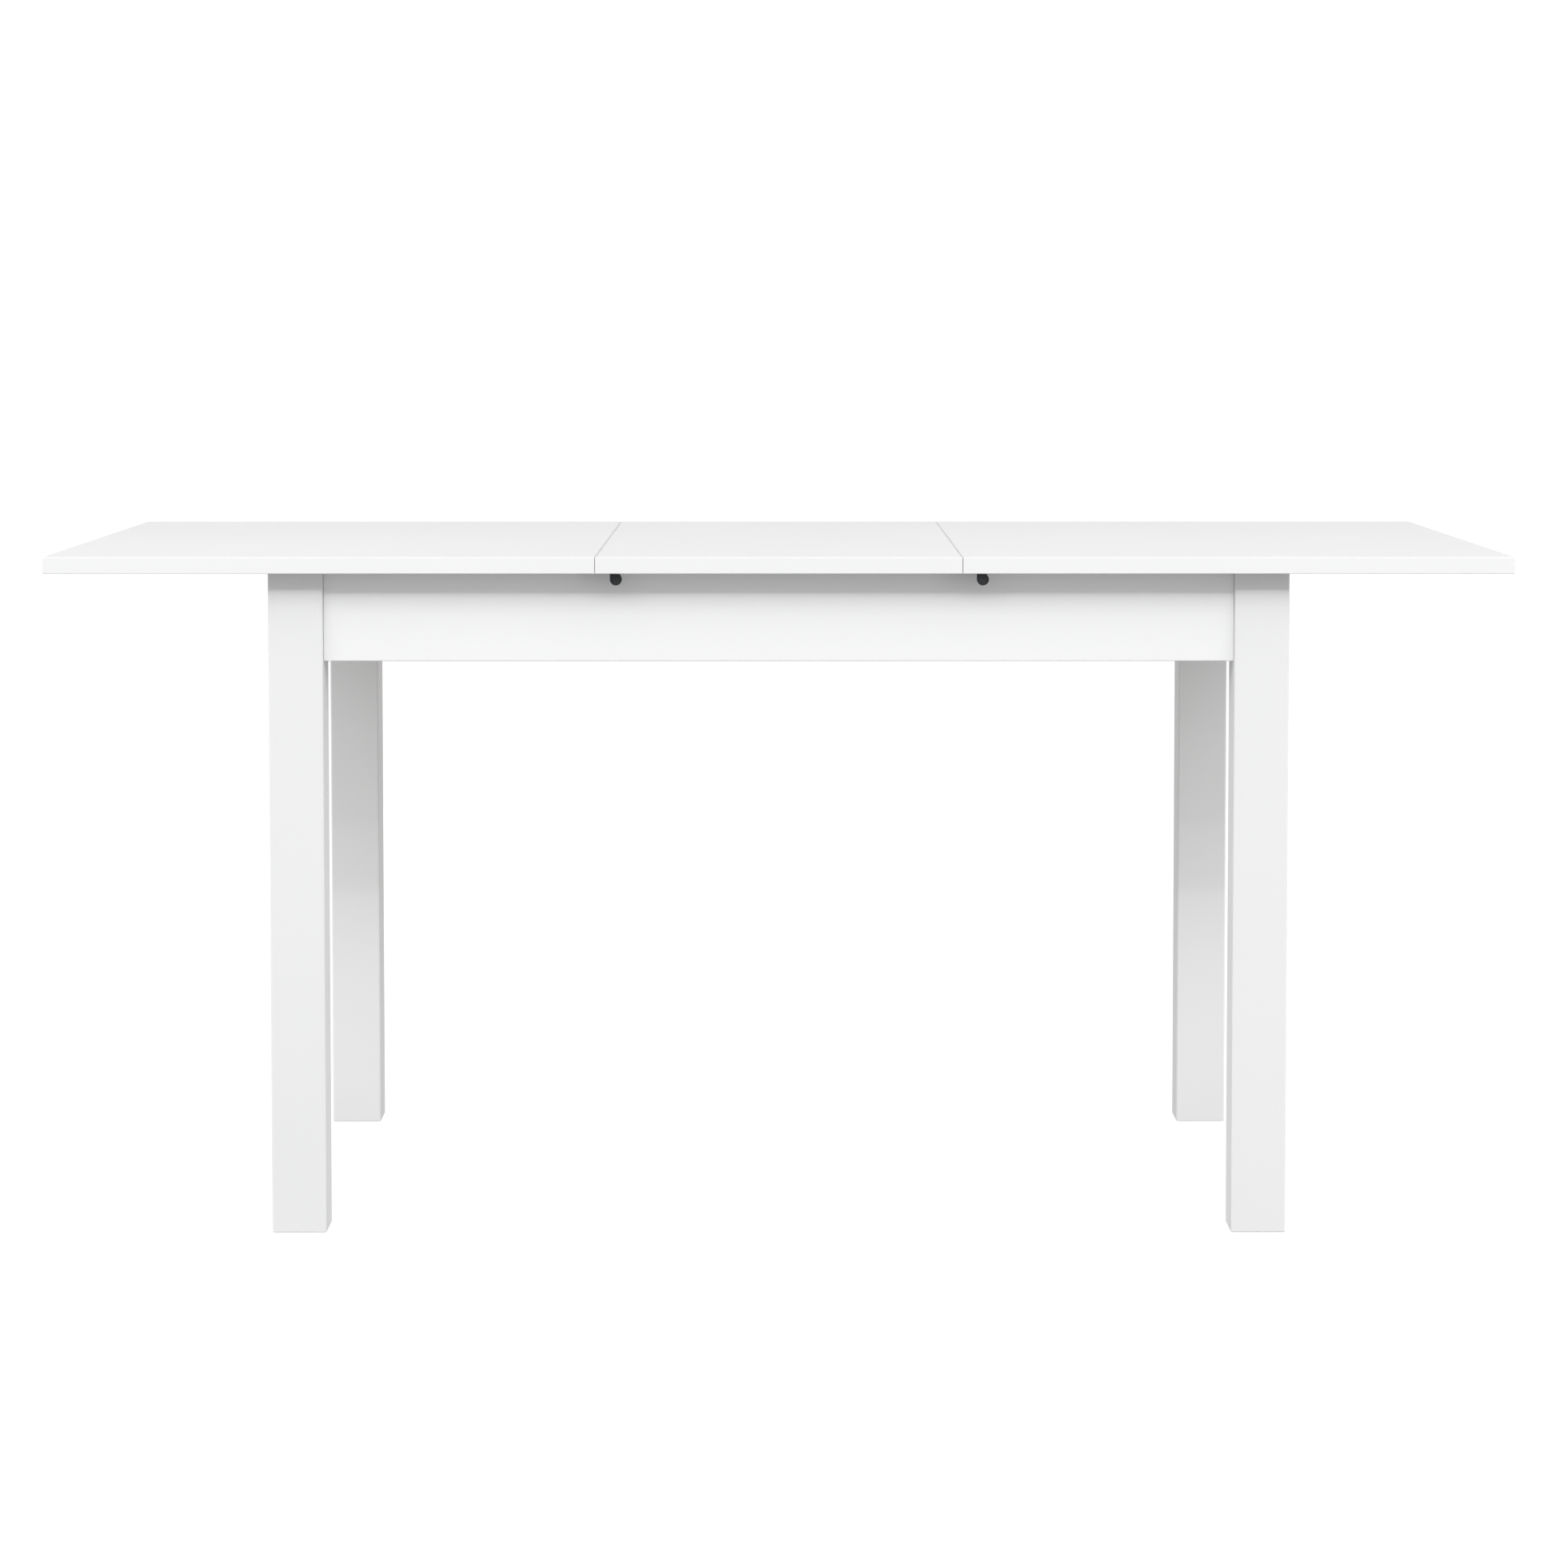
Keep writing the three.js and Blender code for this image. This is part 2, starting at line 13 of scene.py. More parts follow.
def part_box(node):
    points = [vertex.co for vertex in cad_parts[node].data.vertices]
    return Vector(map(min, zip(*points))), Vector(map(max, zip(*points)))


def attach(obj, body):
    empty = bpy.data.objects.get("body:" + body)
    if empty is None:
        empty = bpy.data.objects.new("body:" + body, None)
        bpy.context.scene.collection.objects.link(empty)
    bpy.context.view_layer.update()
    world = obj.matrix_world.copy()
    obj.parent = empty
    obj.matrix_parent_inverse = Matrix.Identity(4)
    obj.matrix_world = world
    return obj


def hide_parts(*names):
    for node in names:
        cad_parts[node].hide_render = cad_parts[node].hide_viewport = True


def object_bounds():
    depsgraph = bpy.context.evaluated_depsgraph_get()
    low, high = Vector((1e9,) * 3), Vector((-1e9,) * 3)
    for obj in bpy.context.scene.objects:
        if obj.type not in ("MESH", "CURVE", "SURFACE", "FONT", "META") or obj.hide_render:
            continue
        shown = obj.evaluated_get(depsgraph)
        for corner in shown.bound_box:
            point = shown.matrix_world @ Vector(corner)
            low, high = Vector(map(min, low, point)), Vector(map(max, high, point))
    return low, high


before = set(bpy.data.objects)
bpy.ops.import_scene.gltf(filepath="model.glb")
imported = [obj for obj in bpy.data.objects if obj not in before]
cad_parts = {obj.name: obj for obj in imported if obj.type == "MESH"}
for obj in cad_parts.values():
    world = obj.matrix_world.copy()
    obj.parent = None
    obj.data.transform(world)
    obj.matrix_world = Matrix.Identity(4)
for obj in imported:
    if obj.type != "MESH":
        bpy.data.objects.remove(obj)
CAD_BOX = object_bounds()

MM = 0.001
ROWS = (("front", -1), ("rear", 1))
COLUMNS = (("left", -1), ("right", 1))

# Edge finish
BOARD_ARRIS = 0.8 * MM
BOARD_CORNER = 0.9 * MM
BAND_THICKNESS = 1.0 * MM
BAND_JOINT = 0.12 * MM
BAND_INNER_CORNER = 0.3 * MM
FOIL_ARRIS = 0.15 * MM
LEG_ARRIS = 2.0 * MM
LEG_END_ARRIS = 1.0 * MM
LEG_FLAT = 12 * MM
APRON_ARRIS = 1.2 * MM
APRON_END_ARRIS = 0.2 * MM
BEECH_ARRIS = 1.2 * MM
RUNNER_ARRIS = 0.6 * MM
SMOOTH_ANGLE = math.radians(34)
FACE_AREA_WEIGHT = 50
SORT_DIRECTION = Vector((0.61, 0.35, 0.71))
ARC_STEPS = 8

# Beech ray flecks: how far they are stretched along and across the grain
FLECK_ALONG = 0.45
FLECK_ACROSS = 2.65

# Runner tongues
TONGUE_REACH = 6.8 * MM
TONGUE_LOW = 710.2 * MM
TONGUE_HIGH = 717.8 * MM

# Seam latch, measured from its pivot: u runs along the hook towards the seam, v towards the table's edge
HOOK_REACH = 41.5 * MM
HOOK_HALF_WIDTH = 6.5 * MM
HOOK_CORNER = 3 * MM
SLOT_INNER = 31 * MM
SLOT_OUTER = 37 * MM
LEVER_THICKNESS = 1.2 * MM
LEVER_ARRIS = 0.25 * MM
LEVER_HUB_RADIUS = 7 * MM
LEVER_ARM_SPAN = (-1.7 * MM, 4.3 * MM)
LEVER_FILLET = 2.5 * MM
LEVER_STEPS = 6
SLOT_STEPS = 12
HUB_STEPS = 20
LUG_REACH = 21.6 * MM
LUG_BEND = 1.6 * MM
KNOB_RADIUS = 6.5 * MM
KNOB_NECK_ANGLE = math.radians(30)
KNOB_STEPS = 28
KNOB_RIM = 1.3 * MM
KNOB_DISH = 0.8 * MM
KNOB_DISH_WALL = 0.6 * MM
KNOB_ARRIS = 0.7 * MM
STUD_ARRIS = 0.4 * MM
STUD_DIMPLE_DEPTH = 0.35 * MM
STUD_DIMPLE_FLOOR = 0.45  # share of the stud's radius
STUD_DIMPLE_RIM = 0.5
PIN_HEAD_HEIGHT = 1.0 * MM
PIN_SHANK_RADIUS = 2.5 * MM

# Screw heads. The profile is (share of the radius, share of the height), from the seat to the recess
SCREW_RADIUS = 3.6 * MM
SCREW_HEAD_HEIGHT = 1.4 * MM
SCREW_SIDES = 24
SCREW_PROFILE = [(1.0, 0.0), (1.0, 0.25), (0.93, 0.55), (0.78, 0.8), (0.55, 0.96), (0.42, 1.0)]
RECESS_WING = (0.36, 0.9)
RECESS_CORE = (0.12, 0.35)
SIDES_PER_WING = SCREW_SIDES // 4

# Where the screws sit
RUNNER_SCREWS = 4
RUNNER_SCREW_START = 40 * MM
RUNNER_SCREW_END = 30 * MM
BRACKET_THICKNESS = 2.5 * MM
BRACKET_SCREW_INSET = 13 * MM
PAIR_HALF_PITCH = 12 * MM

# Studio: radiances are against a white of 1
DOME_LIGHT = 0.69
DOME_SEEN = 1.05
FLOOR_HALF_SIZE = 60
FLOOR_BOUNCE = (0.10, 0.10, 0.10)
FLOOR_BOUNCE_GLOW = 0.27
FLOOR_SHADE = (0.12, 0.12, 0.12)
FLOOR_GLOW = 0.97

# Softboxes as the top's front edge sees them: name, turn from straight ahead and elevation in degrees,
# distance, size and radiance
SOFTBOXES = (
    ("edge_strip", 0, 26.9, 6.3, (12.0, 0.105), 22.6),
    ("key_low", 0, 29.8, 6.3, (12.0, 0.66), 4.6),
    ("key_high", 0, 38.5, 6.3, (12.0, 1.755), 2.0),
    ("left_side", -70, 22.0, 4.2, (3.0, 1.9), 3.5),
    ("right_side", 70, 22.0, 4.2, (3.0, 1.9), 3.5),
    ("left_low", -100, -3.4, 4.2, (3.0, 0.9), 3.6),
    ("right_low", 100, -3.4, 4.2, (3.0, 0.9), 3.6),
    ("rear_low", 180, -3.4, 4.2, (6.0, 0.9), 2.2),
)

# A dim box on the floor that fills in under the table
FLOOR_FILL_PLACE = (0, -0.08, 0.004)
FLOOR_FILL_SIZE = (2.0, 0.5)
FLOOR_FILL_RADIANCE = 0.25

# Camera
SENSOR_WIDTH_MM = 36
LENS_MM = 99.9
CAMERA_SHIFT_Y = -0.13
CAMERA_PLACE = (-0.0013, -5.1174, 1.0207)
CAMERA_PITCH_DOWN = 3.561
CAMERA_YAW = -0.085


def box_of(node):
    """Lowest and highest corner of a CAD node."""
    low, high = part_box(node)
    return Vector(low), Vector(high)


def centre_of(node):
    """Middle of a CAD node's box."""
    low, high = box_of(node)
    return (low + high) / 2


# ---------------------------------------------------------------- materials


def new_material(name):
    """A material with only its Principled shader, and that shader."""
    material = bpy.data.materials.new(name)
    material.use_nodes = True
    shader = material.node_tree.nodes["Principled BSDF"]
    return material, shader


def add_node(material, kind, **values):
    """A shader node with its properties or named inputs set."""
    node = material.node_tree.nodes.new(kind)
    for key, value in values.items():
        if key in node.inputs:
            node.inputs[key].default_value = value
        else:
            setattr(node, key, value)
    return node


def link(material, out_socket, in_socket):
    material.node_tree.links.new(out_socket, in_socket)


def object_noise(material, stretch, scale, detail=4.0, roughness=0.5, distortion=0.0):
    """Noise in the object's own coordinates, stretched along its axes. Gives the noise value."""
    place = add_node(material, "ShaderNodeTexCoord")
    mapping = add_node(material, "ShaderNodeMapping")
    mapping.inputs["Scale"].default_value = stretch
    noise = add_node(
        material,
        "ShaderNodeTexNoise",
        Scale=scale,
        Detail=detail,
        Roughness=roughness,
        Distortion=distortion,
    )
    link(material, place.outputs["Object"], mapping.inputs["Vector"])
    link(material, mapping.outputs["Vector"], noise.inputs["Vector"])
    return noise.outputs["Fac"]


def ramp(material, value, stops):
    """A colour ramp over a value: stops are (position, colour) pairs."""
    node = add_node(material, "ShaderNodeValToRGB")
    elements = node.color_ramp.elements
    while len(elements) < len(stops):
        elements.new(0.5)
    for element, (position, colour) in zip(elements, stops):
        element.position = position
        element.color = (*colour, 1.0)
    link(material, value, node.inputs["Fac"])
    return node.outputs["Color"]


def spread(material, value, low, high, from_low=0.3, from_high=0.7):
    """Maps a value to a range."""
    node = add_node(material, "ShaderNodeMapRange")
    node.inputs["From Min"].default_value = from_low
    node.inputs["From Max"].default_value = from_high
    node.inputs["To Min"].default_value = low
    node.inputs["To Max"].default_value = high
    link(material, value, node.inputs["Value"])
    return node.outputs["Result"]


def bump(material, shader, heights):
    """Chains bumps: heights are (value, strength, distance) triples."""
    last = None
    for value, strength, distance in heights:
        node = add_node(material, "ShaderNodeBump", Strength=strength, Distance=distance)
        link(material, value, node.inputs["Height"])
        if last is not None:
            link(material, last, node.inputs["Normal"])
        last = node.outputs["Normal"]
    link(material, last, shader.inputs["Normal"])


def lacquer(name, grain, dark, light):
    """White satin lacquer: a hair of orange peel, and the wood's grain just showing through it."""
    material, shader = new_material(name)
    tone = object_noise(material, (1, 1, 1), 2.3, detail=3)
    colour = ramp(material, tone, [(0.3, dark), (0.7, light)])
    link(material, colour, shader.inputs["Base Color"])
    sheen_patches = object_noise(material, (1, 1, 1), 14, detail=5)
    link(material, spread(material, sheen_patches, 0.33, 0.41), shader.inputs["Roughness"])
    peel = object_noise(material, (1, 1, 1), 520, detail=2)
    fibres = object_noise(material, grain, 900, detail=3)
    bump(material, shader, [(fibres, 0.035, 0.0004), (peel, 0.05, 0.0003)])
    shader.inputs["IOR"].default_value = 1.47
    return material


def melamine(name):
    """White foil on board: flat, with a fine even pore texture."""
    material, shader = new_material(name)
    tone = object_noise(material, (1, 1, 1), 1.7, detail=3)
    colour = ramp(material, tone, [(0.3, (0.846, 0.847, 0.848)), (0.7, (0.866, 0.866, 0.866))])
    link(material, colour, shader.inputs["Base Color"])
    patches = object_noise(material, (1, 1, 1), 9, detail=5)
    link(material, spread(material, patches, 0.36, 0.43), shader.inputs["Roughness"])
    pores = object_noise(material, (1, 1, 1), 1500, detail=2)
    waves = object_noise(material, (1, 1, 1), 60, detail=2)
    bump(material, shader, [(waves, 0.02, 0.0004), (pores, 0.06, 0.0002)])
    shader.inputs["IOR"].default_value = 1.5
    return material


def edge_band(name):
    """White ABS edge band: smoother than the foil and a touch cooler, its white set a little darker than
    the foil's as painted shade against the extra light on the top's front edge.
    """
    material, shader = new_material(name)
    tone = object_noise(material, (1, 1, 1), 4, detail=2)
    # The darker white here is painted shade that offsets the extra light falling on the top's front edge.
    colour = ramp(material, tone, [(0.3, (0.834, 0.837, 0.840)), (0.7, (0.850, 0.852, 0.853))])
    link(material, colour, shader.inputs["Base Color"])
    drag = object_noise(material, (1, 1, 9), 220, detail=3)
    link(material, spread(material, drag, 0.30, 0.38), shader.inputs["Roughness"])
    bump(material, shader, [(drag, 0.03, 0.0002)])
    shader.inputs["IOR"].default_value = 1.5
    return material


def beech(name, grain):
    """Waxed beech: long pale bands, short dark ray flecks and open pores along the grain."""
    material, shader = new_material(name)
    bands = object_noise(material, grain, 42, detail=5, roughness=0.55, distortion=0.6)
    colour = ramp(
        material,
        bands,
        [
            (0.30, (0.49, 0.31, 0.165)),
            (0.48, (0.60, 0.405, 0.235)),
            (0.70, (0.68, 0.49, 0.305)),
        ],
    )
    stretch = tuple(FLECK_ALONG if g < 0.5 else FLECK_ACROSS for g in grain)
    flecks = object_noise(material, stretch, 620, detail=1)
    mark = spread(material, flecks, 0.0, 0.55, 0.62, 0.74)
    mix = add_node(material, "ShaderNodeMix", data_type="RGBA", blend_type="MULTIPLY")
    link(material, mark, mix.inputs["Factor"])
    link(material, colour, mix.inputs["A"])
    mix.inputs["B"].default_value = (0.62, 0.45, 0.33, 1)
    link(material, mix.outputs["Result"], shader.inputs["Base Color"])
    link(material, spread(material, bands, 0.50, 0.64), shader.inputs["Roughness"])
    pores = object_noise(material, grain, 1400, detail=2)
    bump(material, shader, [(bands, 0.12, 0.0004), (pores, 0.18, 0.0003)])
    shader.inputs["IOR"].default_value = 1.45
    return material


def moulded_plastic(name, dark, light, rough):
    """Moulded plastic with a fine spark-eroded skin."""
    material, shader = new_material(name)
    tone = object_noise(material, (1, 1, 1), 90, detail=4)
    link(material, ramp(material, tone, [(0.3, dark), (0.7, light)]), shader.inputs["Base Color"])
    link(material, spread(material, tone, rough - 0.05, rough + 0.06), shader.inputs["Roughness"])
    skin = object_noise(material, (1, 1, 1), 3800, detail=2)
    bump(material, shader, [(skin, 0.22, 0.0001)])
    shader.inputs["IOR"].default_value = 1.5
    return material


def zinc_steel(name):
    """Zinc-plated steel: bright, faintly mottled, with fine drawing lines."""
    material, shader = new_material(name)
    mottle = object_noise(material, (1, 1, 1), 170, detail=4)
    colour = ramp(material, mottle, [(0.3, (0.60, 0.61, 0.63)), (0.7, (0.70, 0.70, 0.69))])
    link(material, colour, shader.inputs["Base Color"])
    lines = object_noise(material, (1, 1, 14), 600, detail=2)
    link(material, spread(material, mottle, 0.32, 0.42), shader.inputs["Roughness"])
    bump(material, shader, [(lines, 0.08, 0.0001)])
    shader.inputs["Metallic"].default_value = 1.0
    return material


def threaded_steel(name):
    """Zinc-plated steel with a thread cut round it, as rings along the bolt's diagonal."""
    material = zinc_steel(name)
    shader = material.node_tree.nodes["Principled BSDF"]
    place = add_node(material, "ShaderNodeTexCoord")
    wave = add_node(
        material,
        "ShaderNodeTexWave",
        wave_type="BANDS",
        bands_direction="DIAGONAL",
        wave_profile="TRI",
        Scale=255.0,
    )
    link(material, place.outputs["Object"], wave.inputs["Vector"])
    thread = add_node(material, "ShaderNodeBump", Strength=0.8, Distance=0.0006)
    link(material, wave.outputs["Fac"], thread.inputs["Height"])
    link(material, thread.outputs["Normal"], shader.inputs["Normal"])
    return material


# The legs and aprons are one white lacquer given two whites to set their brightness under this light: the
# legs' darker white is painted shade and the aprons' lighter white is painted light.
LEG_WHITES_PAINTED_SHADE = ((0.814, 0.816, 0.818), (0.836, 0.837, 0.837))
APRON_WHITES_PAINTED_LIGHT = ((0.880, 0.882, 0.884), (0.902, 0.903, 0.903))
LACQUER_UPRIGHT = lacquer("white_lacquer_upright", (1, 1, 0.05), *LEG_WHITES_PAINTED_SHADE)
LACQUER_ALONG_X = lacquer("white_lacquer_along_x", (0.05, 1, 1), *APRON_WHITES_PAINTED_LIGHT)
LACQUER_ALONG_Y = lacquer("white_lacquer_along_y", (1, 0.05, 1), *APRON_WHITES_PAINTED_LIGHT)
MELAMINE = melamine("white_board_foil")
EDGE_BAND = edge_band("white_edge_band")
BEECH_ALONG_X = beech("beech_along_x", (0.045, 1, 1))
BEECH_ALONG_Y = beech("beech_along_y", (1, 0.045, 1))
DARK_PLASTIC = moulded_plastic("anthracite_plastic", (0.020, 0.021, 0.024), (0.034, 0.035, 0.038), 0.36)
GLIDE_PLASTIC = moulded_plastic("grey_nylon", (0.36, 0.36, 0.355), (0.43, 0.43, 0.42), 0.5)
ZINC = zinc_steel("zinc_steel")
THREAD = threaded_steel("zinc_thread")


# ---------------------------------------------------------------- mesh building


def finish_piece(name, bm, material, body):
    """Makes a piece from a bmesh: faces out, smooth between shallow edges, riding on a body.

    The normals are weighted by face area, so a big flat face isn't shaded by its arrises.
    """
    bmesh.ops.recalc_face_normals(bm, faces=bm.faces)
    mesh = bpy.data.meshes.new(name)
    bm.to_mesh(mesh)
    bm.free()
    for polygon in mesh.polygons:
        polygon.use_smooth = True
    mesh.set_sharp_from_angle(angle=SMOOTH_ANGLE)
    mesh.materials.append(material)
    piece = bpy.data.objects.new(name, mesh)
    bpy.context.scene.collection.objects.link(piece)
    flatten = piece.modifiers.new("flat_faces_stay_flat", "WEIGHTED_NORMAL")
    flatten.mode = "FACE_AREA"
    flatten.weight = FACE_AREA_WEIGHT
    flatten.keep_sharp = True
    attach(piece, body)
    return piece


def ring_of(bm, points):
    return [bm.verts.new(p) for p in points]


def bridge(bm, ring_a, ring_b):
    """Quads between two rings with as many points."""
    count = len(ring_a)
    for i in range(count):
        j = (i + 1) % count
        bm.faces.new((ring_a[i], ring_a[j], ring_b[j], ring_b[i]))


def loft(bm, rings, closed=False):
    """A skin through rings. Closed joins the last ring to the first, otherwise both ends are capped."""
    made = [ring_of(bm, ring) for ring in rings]
    for ring_a, ring_b in zip(made, made[1:]):
        bridge(bm, ring_a, ring_b)
    if closed:
        bridge(bm, made[-1], made[0])
    else:
        bm.faces.new(made[0])
        bm.faces.new(made[-1])


def arc(centre, radius, start, end, steps=ARC_STEPS):
    """Points along an arc, both ends included. Angles in radians."""
    made = []
    for i in range(steps + 1):
        angle = start + (end - start) * i / steps
        made.append((centre[0] + radius * math.cos(angle), centre[1] + radius * math.sin(angle)))
    return made


def rounded_rectangle(low, high, radius):
    """Outline of a rectangle with round corners, counter-clockwise."""
    quarter = math.pi / 2
    corners = [
        ((low[0] + radius, low[1] + radius), 2 * quarter),
        ((high[0] - radius, low[1] + radius), 3 * quarter),
        ((high[0] - radius, high[1] - radius), 0),
        ((low[0] + radius, high[1] - radius), quarter),
    ]
    outline = []
    for centre, start in corners:
        outline += arc(centre, radius, start, start + quarter)
    return outline


def rounded_block(low, high, radius, segments=4):
    """A box whose every edge is rounded."""
    bm = bmesh.new()
    bmesh.ops.create_cube(bm, size=1.0)
    size = high - low
    centre = (low + high) / 2
    for vert in bm.verts:
        vert.co = centre + Vector((vert.co.x * size.x, vert.co.y * size.y, vert.co.z * size.z))
    bmesh.ops.bevel(
        bm, geom=bm.edges[:], offset=radius, segments=segments, profile=0.5, affect="EDGES"
    )
    return bm


def prism(outline, low, high, place, arris, segments=3):
    """An outline extruded between two levels, with its end edges rounded.

    place maps (a, b, level) to a point.
    """
    bm = bmesh.new()
    loft(bm, [[place(a, b, level) for a, b in outline] for level in (low, high)])
    caps = [face for face in bm.faces if len(face.verts) == len(outline)]
    rims = [edge for edge in bm.edges if any(face in caps for face in edge.link_faces)]
    bmesh.ops.bevel(bm, geom=rims, offset=arris, segments=segments, profile=0.5, affect="EDGES")
    return bm


def sort_mesh(bm):
    """Puts a mesh's elements in one order, because an inset leaves them in another order each run."""
    bm.verts.sort(key=lambda vert: vert.co.dot(SORT_DIRECTION))
    bm.edges.sort(key=lambda edge: (edge.verts[0].co + edge.verts[1].co).dot(SORT_DIRECTION))
    bm.faces.sort(key=lambda face: face.calc_center_median().dot(SORT_DIRECTION))


def circle(centre, radius, level, sides=32):
    """A level ring of points round a vertical axis."""
    turns = [2 * math.pi * i / sides for i in range(sides)]
    return [(centre.x + radius * math.cos(t), centre.y + radius * math.sin(t), level) for t in turns]


def quarter_profile(radius, steps=4):
    """(inset, rise) pairs of a quarter-round arris, from the flat face to the side."""
    made = []
    for i in range(steps + 1):
        angle = math.pi / 2 * i / steps
        made.append((radius * (1 - math.sin(angle)), radius * (1 - math.cos(angle))))
    return made


# ---------------------------------------------------------------- top panels


def board_core(node, body):
    """The foiled board, set inside its edge band."""
    low, high = box_of(node)
    inset = BAND_THICKNESS + BAND_JOINT
    inner_low = low + Vector((inset, inset, 0))
    inner_high = high - Vector((inset, inset, 0))
    core = finish_piece(
        f"{node}_board",
        rounded_block(inner_low, inner_high, FOIL_ARRIS, segments=2),
        MELAMINE,
        body,
    )
    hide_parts(node)


def board_band(node, body):
    """The edge band: a 1 mm strip all round the board, with its arrises rounded."""
    low, high = box_of(node)

    def outline(inset, corner):
        return rounded_rectangle((low.x + inset, low.y + inset), (high.x - inset, high.y - inset), corner)

    profile = quarter_profile(BOARD_ARRIS)
    rings = []
    for inset, rise in profile:
        rings.append([(x, y, low.z + rise) for x, y in outline(inset, BOARD_CORNER - inset)])
    for inset, rise in reversed(profile):
        rings.append([(x, y, high.z - rise) for x, y in outline(inset, BOARD_CORNER - inset)])
    inner = outline(BAND_THICKNESS, BAND_INNER_CORNER)
    rings.append([(x, y, high.z) for x, y in inner])
    rings.append([(x, y, low.z) for x, y in inner])
    bm = bmesh.new()
    loft(bm, rings, closed=True)
    finish_piece(f"{node}_edge_band", bm, EDGE_BAND, body)


def make_top():
    """The two half tops and the leaf, each a board in its edge band."""
    for node, body in (("left_top", "left_half"), ("centre_leaf", "leaf"), ("right_top", "right_half")):
        board_core(node, body)
        board_band(node, body)


# ---------------------------------------------------------------- legs and aprons


def leg_outline(low, high, x_in, y_in, flat):
    """The leg's outline. The inner corner, on the x_in and y_in sides, is a flat when flat is above 0."""
    centre = Vector(((low.x + high.x) / 2, (low.y + high.y) / 2))
    half = Vector(((high.x - low.x) / 2, (high.y - low.y) / 2))
    outline = rounded_rectangle(-half, half, LEG_ARRIS)
    if flat > 0:
        first = 2 * (ARC_STEPS + 1)
        for i in range(ARC_STEPS + 1):
            share = i / ARC_STEPS
            outline[first + i] = (half.x - flat * share, half.y - flat * (1 - share))
    return [(centre.x + x_in * a, centre.y + y_in * b) for a, b in outline]


def inset_outline(outline, centre, half, inset):
    """The outline shrunk towards its centre by an inset on each side."""
    sx = (half.x - inset) / half.x
    sy = (half.y - inset) / half.y
    return [(centre.x + (a - centre.x) * sx, centre.y + (b - centre.y) * sy) for a, b in outline]


def make_leg(node, x_in, y_in, flat_from):
    """A square leg with rounded arrises. From flat_from up, its inner corner is cut off as a flat."""
    low, high = box_of(node)
    centre = (low + high) / 2
    half = (high - low) / 2
    full = leg_outline(low, high, x_in, y_in, 0)
    cut = leg_outline(low, high, x_in, y_in, LEG_FLAT)
    rings = []
    for inset, rise in quarter_profile(LEG_END_ARRIS):
        rings.append([(a, b, low.z + rise) for a, b in inset_outline(full, centre, half, inset)])
    rings.append([(a, b, flat_from) for a, b in full])
    rings.append([(a, b, flat_from) for a, b in cut])
    for inset, rise in reversed(quarter_profile(LEG_END_ARRIS)):
        rings.append([(a, b, high.z - rise) for a, b in inset_outline(cut, centre, half, inset)])
    bm = bmesh.new()
    loft(bm, rings)
    leg = finish_piece(f"{node}_painted", bm, LACQUER_UPRIGHT, "frame")
    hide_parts(node)


def make_apron(node, along):
    """An apron board. along is 0 where its length runs along X, 1 along Y."""
    low, high = box_of(node)
    across = 1 - along
    outline = rounded_rectangle((low[across], low.z), (high[across], high.z), APRON_ARRIS)

    def place(depth, height, length):
        point = [0, 0, height]
        point[along] = length
        point[across] = depth
        return point

    bm = prism(outline, low[along], high[along], place, APRON_END_ARRIS)
    material = (LACQUER_ALONG_X, LACQUER_ALONG_Y)[along]
    apron = finish_piece(f"{node}_painted", bm, material, "frame")
    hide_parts(node)


def make_frame():
    """The legs and the aprons between them."""
    apron_bottom = box_of("front_apron")[0].z
    for row, y_side in ROWS:
        for column, x_side in COLUMNS:
            make_leg(f"{row}_{column}_leg", -x_side, -y_side, apron_bottom)
    for row, _ in ROWS:
        make_apron(f"{row}_apron", 0)
    for column, _ in COLUMNS:
        make_apron(f"{column}_apron", 1)


# ---------------------------------------------------------------- beech slides and bearers


def make_runner(node, body, lane):
    """A runner with its tongue. lane is +1 where the tongue points to +Y, else -1."""
    low, high = box_of(node)
    if lane > 0:
        back, face, tip = low.y, high.y - TONGUE_REACH, high.y
    else:
        back, face, tip = high.y, low.y + TONGUE_REACH, low.y
    outline = [
        (back, low.z),
        (face, low.z),
        (face, TONGUE_LOW),
        (tip, TONGUE_LOW),
        (tip, TONGUE_HIGH),
        (face, TONGUE_HIGH),
        (face, high.z),
        (back, high.z),
    ]
    bm = bmesh.new()
    loft(bm, [[(x, y, z) for y, z in outline] for x in (low.x, high.x)])
    bmesh.ops.bevel(bm, geom=bm.edges[:], offset=RUNNER_ARRIS, segments=2, profile=0.5, affect="EDGES")
    runner = finish_piece(f"{node}_planed", bm, BEECH_ALONG_X, body)
    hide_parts(node)


def make_slides():
    """The runners under the half tops and the bearers under the rails."""
    for row, y_side in ROWS:
        make_runner(f"{row}_left_runner", "left_half", -y_side)
        make_runner(f"{row}_right_runner", "right_half", y_side)
    for column, _ in COLUMNS:
        node = f"{column}_cross_bearer"
        bm = rounded_block(*box_of(node), BEECH_ARRIS)
        bearer = finish_piece(f"{node}_planed", bm, BEECH_ALONG_Y, "frame")
        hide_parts(node)


# ---------------------------------------------------------------- latches


